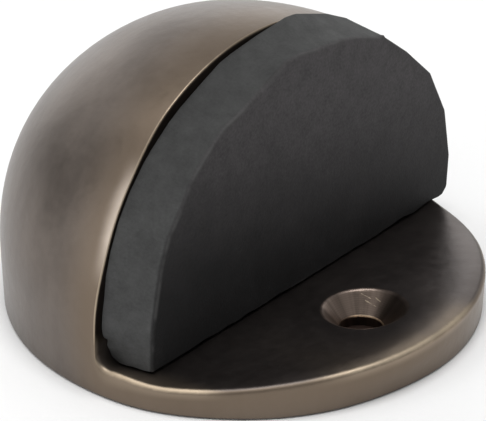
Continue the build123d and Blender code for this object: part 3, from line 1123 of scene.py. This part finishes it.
def pale_floor():
    """A plain pale floor, with painted shade: a dark colour in and around the hole drilled for the fixing
    screw to go down into.
    """
    r = Recipe("pale_floor", Metallic=0.0)
    radius = r.vector("LENGTH", {0: r.flat_from_hole()}, "Value")
    clouds = r.noise(40.0, detail=3.0)
    color = r.blend(clouds, FLOOR_SHADE, FLOOR_PALE)
    # painted shade: the drilled hole and a thin ring round it are coloured dark
    color = r.blend(r.span(radius, HOLE_RADIUS + 0.2, HOLE_RADIUS + 0.1), color, DRILLED_HOLE_PAINTED_SHADE)
    r.bumps((r.noise(0.8, detail=3.0), 0.02))
    return r.finish(color, r.plus(r.times(clouds, 0.1), 0.7))


steel = plated_steel()

casting = make_casting()
casting.data.materials.append(cast_brass())
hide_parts("dome_base")
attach(casting, "root")

block = make_buffer()
block.data.materials.append(cut_rubber())
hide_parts("rubber_buffer")
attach(block, "root")

for side in ("left", "right"):
    make_stud(side)
    make_washer(side)
    make_nut(side)


# -------- stage


LIGHT_SIZE = 0.32
LIGHT_DISTANCE = 0.6
LIGHT_AIM_HEIGHT = 0.01
# Soft round lights, all the same size and distance: where each one is (azimuth anticlockwise from the door's
# side seen from above, elevation, both in degrees) and its watts
LIGHTS = {
    "overhead": (-50, 85, 2.15),
    "right": (85, 18, 0.07),
    "low_behind": (130, 7, 0.25),
    "low_behind_left": (160, 7, 0.27),
    "low_left": (245, 7, 0.26),
    "behind": (130, 32, 0.11),
    "behind_left": (160, 32, 0.13),
    "far_left": (190, 32, 0.13),
    "left": (250, 32, 0.24),
    "high_left": (220, 58, 0.21),
}
SKY = 0.44
FLOOR_REACH = 3000.0
DRILLED_DEPTH = 12.0
DRILLED_RADIUS = HOLE_RADIUS + 0.05


def direction(azimuth, elevation):
    return Vector((
        math.sin(azimuth) * math.cos(elevation), -math.cos(azimuth) * math.cos(elevation), math.sin(elevation)
    ))


def make_camera():
    back = direction(CAMERA_AZIMUTH, CAMERA_ELEVATION)
    level = Vector((math.cos(CAMERA_AZIMUTH), math.sin(CAMERA_AZIMUTH), 0))
    right = math.cos(CAMERA_ROLL) * level + math.sin(CAMERA_ROLL) * back.cross(level)
    data = bpy.data.cameras.new("camera")
    data.lens = CAMERA_LENS
    data.sensor_width = 36.0
    data.clip_start = 0.01
    camera = linked("camera", data)
    aim = Vector((0, 0, AIM_HEIGHT)) + right * AIM_SIDE
    turned = Matrix((right, back.cross(right), back)).transposed().to_4x4()
    camera.matrix_world = Matrix.Translation(aim + back * CAMERA_DISTANCE) @ turned
    bpy.context.scene.camera = camera


def make_lights():
    for name, (azimuth, elevation, watts) in LIGHTS.items():
        data = bpy.data.lights.new(name, "AREA")
        data.shape = "DISK"
        data.size = LIGHT_SIZE
        data.energy = watts
        light = linked(name, data)
        way = direction(math.radians(azimuth), math.radians(elevation))
        light.location = way * LIGHT_DISTANCE + Vector((0, 0, LIGHT_AIM_HEIGHT))
        light.rotation_euler = (-way).to_track_quat("-Z", "Y").to_euler()


def make_sky():
    world = bpy.data.worlds.new("world")
    bpy.context.scene.world = world
    world.use_nodes = True
    background = world.node_tree.nodes["Background"]
    background.inputs[0].default_value = (1, 1, 1, 1)
    background.inputs[1].default_value = SKY


def make_floor():
    """The floor, with a hole drilled for the fixing screw, so that the fixing hole isn't lit from below."""
    c, s = circle(64)
    shell = Shell()
    far = shell.ring([(-FLOOR_REACH, -FLOOR_REACH, 0), (FLOOR_REACH, -FLOOR_REACH, 0),
                      (FLOOR_REACH, FLOOR_REACH, 0), (-FLOOR_REACH, FLOOR_REACH, 0)])
    x, y = DRILLED_RADIUS * c, HOLE_Y + DRILLED_RADIUS * s
    rings = [shell.ring(np.stack([x, y, z + 0 * c], -1)) for z in (0, -DRILLED_DEPTH)]
    shell.fill_level([far, rings[0]], (0, 1))
    shell.strips(rings)
    shell.fan(rings[-1], shell.ring([(0, HOLE_Y, -DRILLED_DEPTH)])[0])
    floor = shell.build("floor", math.radians(30))
    floor.data.materials.append(pale_floor())


make_lights()
make_sky()
make_floor()
make_camera()
bpy.context.scene.view_settings.view_transform = "Standard"
